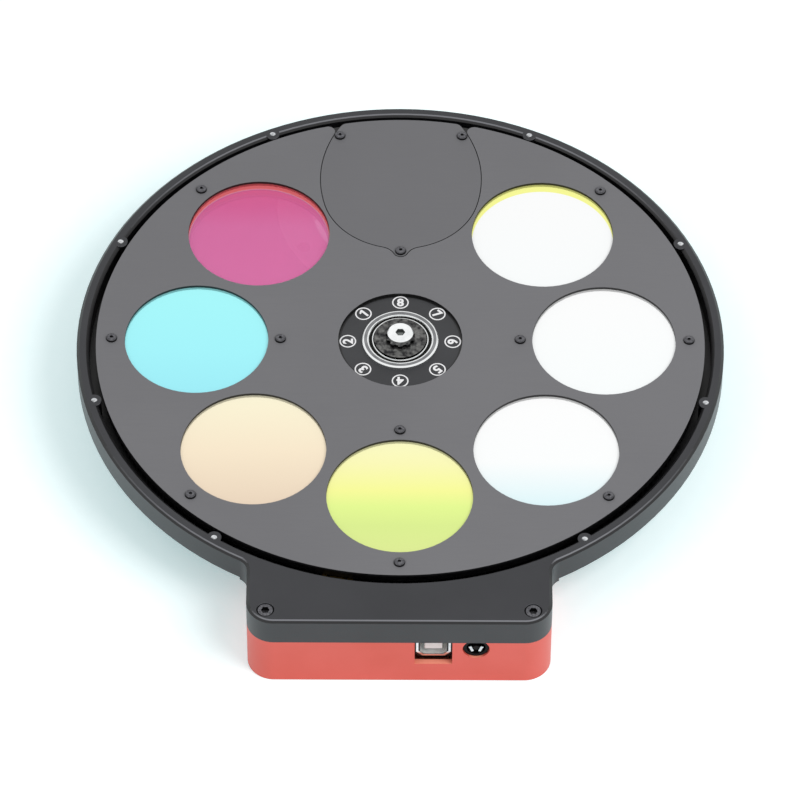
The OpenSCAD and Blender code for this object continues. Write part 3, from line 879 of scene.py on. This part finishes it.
def cover_hole_threads():
    section = thread_section(COVER_HOLE_R, COVER_THREAD_DEPTH, COVER_PITCH, [THREAD_FILL / 2])
    bm = bmesh.new()
    for k in range(4):
        for side in (-1, 1):
            angle = math.radians(90 + side * (COVER_HOLE_FIRST + COVER_HOLE_STEP * k))
            foot = round_axle(COVER_HOLES_AT, angle, RIM_TOP - COVER_THREAD_FOOT)
            coil(bm, foot, section, COVER_PITCH, COVER_TURNS, steps=16)
    new_piece("cover_hole_threads", bm, "housing", nickel_shell)


PORT_R = 33.46 * MM
PORT_THREAD_FOOT = 0.5 * MM
PORT_THREAD_DEPTH = 0.5 * MM
PORT_PITCH = 1.0 * MM
PORT_TURNS = 6


def adapter_thread():
    section = thread_section(PORT_R, PORT_THREAD_DEPTH, PORT_PITCH, [0.4, 0.5])
    bm = bmesh.new()
    coil(bm, Vector((0, 0, PORT_THREAD_FOOT)), section, PORT_PITCH, PORT_TURNS, steps=96)
    new_piece("adapter_thread", bm, "housing", adapter_grey)


cover_hole_threads()
adapter_thread()


# ---------- inside the square socket ----------
USB = middle("usb_socket")
USB_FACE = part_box("usb_socket")[0].y
TONGUE_SIZE = Vector((5.9, 11.6, 3.5)) * MM
TONGUE_BEVEL = 0.3 * MM
TONGUE = Vector((USB.x, USB_FACE + 6.4 * MM, USB.z))
CONTACT_SIZE = Vector((1.0, 7.0, 0.2)) * MM
CONTACT_BEVEL = 0.05 * MM
CONTACT_X, CONTACT_Y, CONTACT_Z = 1.25 * MM, 1.0 * MM, 1.78 * MM


def usb_tongue():
    bm = bmesh.new()
    soft_box(bm, TONGUE, TONGUE_SIZE, TONGUE_BEVEL)
    new_piece("usb_tongue", bm, "housing", tongue_white)


def usb_contacts():
    """Two above the tongue and two below it."""
    bm = bmesh.new()
    for side_z in (-1, 1):
        for side_x in (-1, 1):
            spot = TONGUE + Vector((side_x * CONTACT_X, CONTACT_Y, side_z * CONTACT_Z))
            soft_box(bm, spot, CONTACT_SIZE, CONTACT_BEVEL)
    new_piece("usb_contacts", bm, "housing", gold_plate)


LIP_W = 11.4 * MM
LIP_LOW = 10.0 * MM
LIP_HIGH = 19.3 * MM
LIP_T = 0.75 * MM
LIP_CORNER = 2.0 * MM
LIP_CORNER_LOSS = 0.4  # how much its corner shrinks for each mm further in
LIP_PROUD = 0.35 * MM


def lip_outline(inset):
    """Half round the mouth, from the foot of its middle to its top."""
    half, low, corner = LIP_W / 2 - inset, LIP_LOW + inset, LIP_CORNER - LIP_CORNER_LOSS * inset
    return [(0, low), (half - corner, low), (half, low + corner), (half, LIP_HIGH)]


def usb_lip():
    """The bright edge of the shell, round the mouth and open at its top."""
    bm = bmesh.new()
    chains = []
    for inset in (0, LIP_T):
        side = lip_outline(inset)
        path = [(-x, z) for x, z in reversed(side[1:])] + side
        corners = [bm.verts.new((USB.x + x, USB_FACE, z)) for x, z in path]
        chains += [bm.edges.new(pair) for pair in zip(corners, corners[1:])]
    band = bmesh.ops.bridge_loops(bm, edges=chains)["faces"]
    raise_faces(bm, band, (0, -LIP_PROUD, 0))
    new_piece("usb_lip", bm, "housing", nickel_shell)


usb_tongue()
usb_contacts()
usb_lip()


# ---------- inside the round socket ----------
JACK = middle("power_jack")
JACK_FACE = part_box("power_jack")[0].y
JACK_Z = 16.4 * MM
PIN_ROOT = 9.7 * MM  # how far behind the face the pin starts
PIN_R = 1.06 * MM
PIN_BORE_R = 0.3 * MM
PIN_NOSE_R = 0.8 * PIN_R
PIN_SHOULDER, PIN_NOSE, PIN_TIP = 8.6 * MM, 9.2 * MM, 9.4 * MM
SPRING_SIZE = Vector((1.2, 7.5, 2.8)) * MM
SPRING_BEVEL = 0.3 * MM
SPRING_LEAN = 20  # degrees
SPRING_X, SPRING_Y, SPRING_Z = 1.6 * MM, 4.05 * MM, -1.15 * MM


def jack_pin():
    """Turned upright, then laid down to point towards the front."""
    outline = [
        (PIN_BORE_R, 0),
        (PIN_R, 0),
        (PIN_R, PIN_SHOULDER),
        (PIN_NOSE_R, PIN_NOSE),
        (PIN_BORE_R, PIN_TIP),
    ]
    bm = bmesh.new()
    lathe(bm, Vector((0, 0, 0)), outline, steps=24)
    forwards = Matrix.Rotation(math.pi / 2, 3, "X")
    bmesh.ops.rotate(bm, verts=bm.verts, cent=(0, 0, 0), matrix=forwards)
    bmesh.ops.translate(bm, verts=bm.verts, vec=(JACK.x, JACK_FACE + PIN_ROOT, JACK_Z))
    new_piece("jack_pin", bm, "housing", gear_steel)


def jack_springs():
    bm = bmesh.new()
    for side in (-1, 1):
        spot = Vector((JACK.x + side * SPRING_X, JACK_FACE + SPRING_Y, JACK_Z + SPRING_Z))
        soft_box(bm, spot, SPRING_SIZE, SPRING_BEVEL, lean=side * SPRING_LEAN)
    new_piece("jack_springs", bm, "housing", nickel_shell)


jack_pin()
jack_springs()


# ---------- floor and light ----------
FLOOR_SIZE = 4.0
FLOOR_DROP = 0.2 * MM
FLOOR_LIFT = "#89a5a7"  # what the paper glows with, to be seen as white
AMBIENT = 0.5


def background_rays(tree):
    """1 for the rays by which the camera, metal and glass see the background, else 0."""
    path = add(tree, "ShaderNodeLightPath").outputs
    mirrored = add(
        tree,
        "ShaderNodeMath",
        {0: path["Is Camera Ray"], 1: path["Is Glossy Ray"]},
        operation="MAXIMUM",
    ).outputs[0]
    return add(
        tree,
        "ShaderNodeMath",
        {0: mirrored, 1: path["Is Transmission Ray"]},
        operation="MAXIMUM",
    ).outputs[0]


def floor_material():
    """Seamless white paper: it takes the shadow, and elsewhere renders white."""
    tooth_mm = 4
    material, tree, place = start("white_paper_sweep", AXLE)
    tooth = add(
        tree, "ShaderNodeTexNoise", {"Vector": place, "Scale": per(tooth_mm), "Detail": 2.0}
    )
    shade = add(
        tree,
        "ShaderNodeValToRGB",
        {"Fac": tooth.outputs["Fac"]},
        stops=[(0.3, "#f3f5f5"), (0.7, "#f6f7f7")],
    )
    paper = add(tree, "ShaderNodeBsdfDiffuse", {"Color": shade.outputs["Color"]})
    glow = add(
        tree,
        "ShaderNodeEmission",
        {"Color": linear(FLOOR_LIFT), "Strength": background_rays(tree)},
    )
    both = add(tree, "ShaderNodeAddShader", {0: paper.outputs[0], 1: glow.outputs[0]})
    add(tree, "ShaderNodeOutputMaterial", {"Surface": both.outputs[0]})
    return material


def make_floor():
    bm = bmesh.new()
    bmesh.ops.create_grid(bm, x_segments=1, y_segments=1, size=FLOOR_SIZE)
    bmesh.ops.translate(bm, verts=bm.verts, vec=(0, 0, -FLOOR_DROP))
    floor_mesh = bpy.data.meshes.new("floor")
    bm.to_mesh(floor_mesh)
    bm.free()
    floor_mesh.materials.append(floor_material())
    floor = bpy.data.objects.new("floor", floor_mesh)
    bpy.context.scene.collection.objects.link(floor)


def make_world():
    """A white sweep behind the object, and a dimmer even light on it from all round."""
    world = bpy.data.worlds.new("studio")
    bpy.context.scene.world = world
    world.use_nodes = True
    tree = world.node_tree
    tree.nodes.clear()
    level = add(
        tree,
        "ShaderNodeMapRange",
        {"Value": background_rays(tree), "To Min": AMBIENT, "To Max": 1.0},
    )
    sky = add(
        tree, "ShaderNodeBackground", {"Color": (1, 1, 1, 1), "Strength": level.outputs["Result"]}
    )
    add(tree, "ShaderNodeOutputWorld", {"Surface": sky.outputs[0]})


def soft_lamp(name, place, size, watts):
    data = bpy.data.lights.new(name, "AREA")
    data.shape = "DISK"
    data.size = size
    data.energy = watts
    lamp = bpy.data.objects.new(name, data)
    bpy.context.scene.collection.objects.link(lamp)
    lamp.location = place
    lamp.rotation_euler = (AXLE - Vector(place)).to_track_quat("-Z", "Y").to_euler()
    lamp.visible_camera = False
    lamp.visible_glossy = False


make_floor()
make_world()
soft_lamp("key_lamp", place=(0.65, -0.6, 1.1), size=0.7, watts=8.6)
soft_lamp("fill_lamp", place=(-0.7, -0.5, 1.2), size=1.0, watts=3.0)
